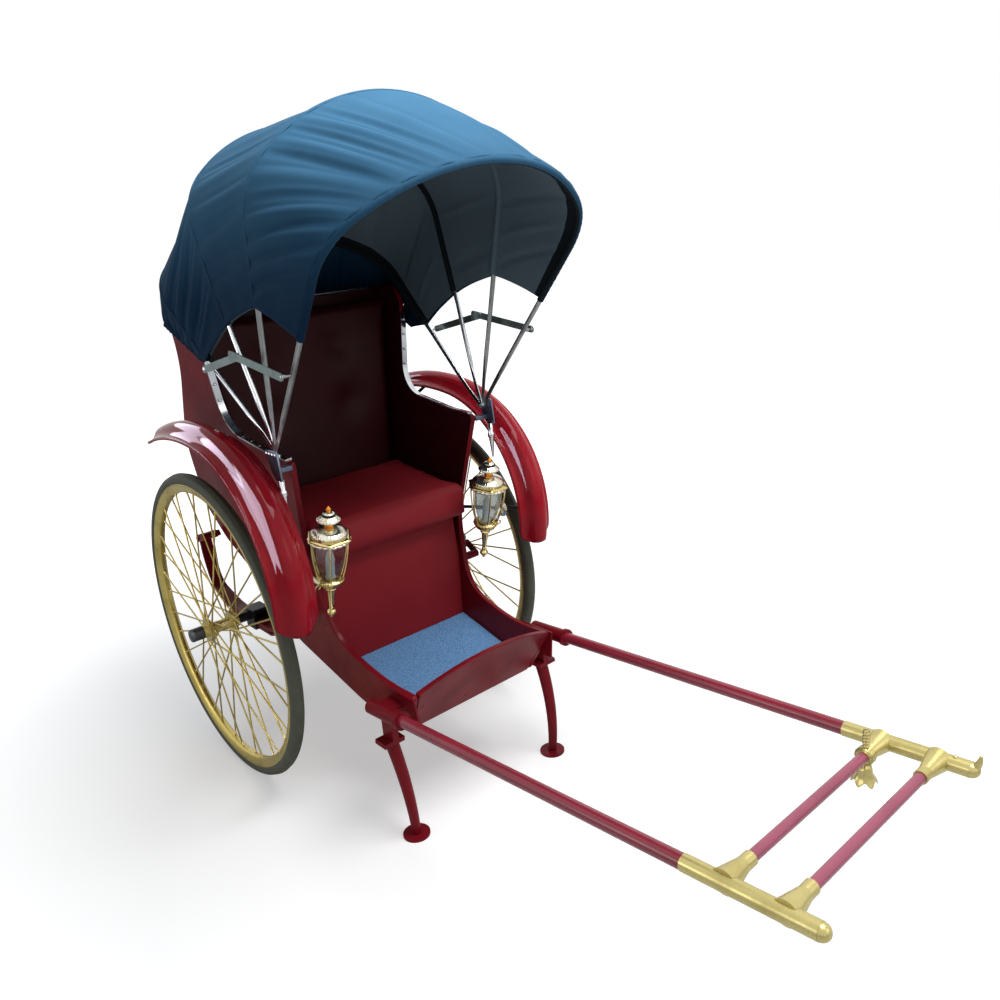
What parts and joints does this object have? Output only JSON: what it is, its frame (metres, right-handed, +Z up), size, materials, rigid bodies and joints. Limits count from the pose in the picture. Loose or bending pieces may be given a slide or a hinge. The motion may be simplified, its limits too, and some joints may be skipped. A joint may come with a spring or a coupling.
{
  "type": "pulled rickshaw",
  "caption": "Two-wheeled passenger rickshaw pulled by hand, with spoked wheels, folding hood, seat tub, fenders, lamps, shafts and parking legs.",
  "frame": {"origin": "bottom centre of the overall box, on the ground the wheels and the two legs stand on", "axes": "-Y towards the puller, +X to the passenger's left, +Z up"},
  "size_m": [1.004, 2.2874, 1.8207],
  "materials": {
    "red_paint": "gloss",
    "red_leather": "satin",
    "dark_wood": "satin",
    "blue_carpet": "matt pile",
    "black_steel": "satin",
    "gold_paint": "satin",
    "brass": "polished",
    "lamp_glass": "clear",
    "bright_steel": "polished",
    "blue_cloth": "matt woven",
    "tyre": "matt"
  },
  "bodies": {
    "chassis": {"side_panels": "red_paint", "edge_trims": "bright_steel", "hood_curtain": "blue_cloth", "spring_hangers": "red_paint", "spring_clamps": "black_steel", "floor_board": "red_paint", "back_panel": "red_paint", "dash_board": "red_paint", "seat_front_panel": "red_leather", "seat_board": "dark_wood", "floor_carpet": "blue_carpet", "seat_cushion": "red_leather", "back_cushion": "red_leather", "frame_rails": "red_paint", "frame_crossmembers": "red_paint", "axle": "black_steel", "leaf_springs": "red_paint", "shafts": "red_paint", "shaft_ends": "gold_paint", "shaft_sockets": "red_paint", "crossbars": "red_paint", "crossbar_fittings": "gold_paint", "legs": "red_paint", "fenders": "red_paint", "fender_stays": "black_steel", "lamp_frames": "brass", "lamp_glass": "lamp_glass", "lamp_brackets": "brass", "hand_bell": "brass", "hood_brackets": "bright_steel", "bow_rear": "bright_steel"},
    "bow_second": {"bow_second": "bright_steel", "hood_cloth_rear": "blue_cloth"},
    "bow_third": {"bow_third": "bright_steel", "hood_cloth_middle": "blue_cloth"},
    "bow_front": {"bow_front": "bright_steel", "hood_cloth_front": "blue_cloth"},
    "stay_rear": {"stay_rear_links": "bright_steel"},
    "stay_front": {"stay_front_links": "bright_steel"},
    "wheel_right": {"tyre_right": "tyre", "rim_right": "gold_paint", "spokes_right": "gold_paint", "hub_right": "gold_paint"},
    "wheel_left": {"tyre_left": "tyre", "rim_left": "gold_paint", "spokes_left": "gold_paint", "hub_left": "gold_paint"}
  },
  "joints": [
    {"name": "wheel_right_spin", "type": "hinge", "parent": "chassis", "child": "wheel_right", "pos_m": [-0.412, 0.68375, 0.46], "axis": [1, 0, 0], "continuous": true},
    {"name": "wheel_left_spin", "type": "hinge", "parent": "chassis", "child": "wheel_left", "pos_m": [0.412, 0.68375, 0.46], "axis": [1, 0, 0], "continuous": true},
    {"name": "hood_fold", "type": "hinge", "parent": "chassis", "child": "bow_second", "pos_m": [0, 0.29875, 1.008], "axis": [-1, 0, 0], "range_deg": [0, 23], "deforming": ["hood_cloth_rear"]},
    {"name": "bow_third_fold", "type": "hinge", "parent": "bow_second", "child": "bow_third", "pos_m": [0, 0.29875, 1.008], "axis": [-1, 0, 0], "range_deg": [0, 21], "deforming": ["hood_cloth_middle"]},
    {"name": "bow_front_fold", "type": "hinge", "parent": "bow_third", "child": "bow_front", "pos_m": [0, 0.29875, 1.008], "axis": [-1, 0, 0], "range_deg": [0, 19], "deforming": ["hood_cloth_front"]},
    {"name": "stay_rear_fold", "type": "hinge", "parent": "chassis", "child": "stay_rear", "pos_m": [0, 0.53875, 1.21663], "axis": [-1, 0, 0], "range_deg": [0, 83.24]},
    {"name": "stay_front_fold", "type": "hinge", "parent": "bow_front", "child": "stay_front", "pos_m": [0, 0.11171, 1.227], "axis": [-1, 0, 0], "range_deg": [-101.27, 0]}
  ],
  "couplings": [
    {"joint": "bow_third_fold", "follows": "hood_fold", "ratio": 0.91304},
    {"joint": "bow_front_fold", "follows": "hood_fold", "ratio": 0.82609},
    {"joint": "stay_rear_fold", "follows": "hood_fold", "ratio": 3.6191},
    {"joint": "stay_front_fold", "follows": "hood_fold", "ratio": -4.403}
  ]
}
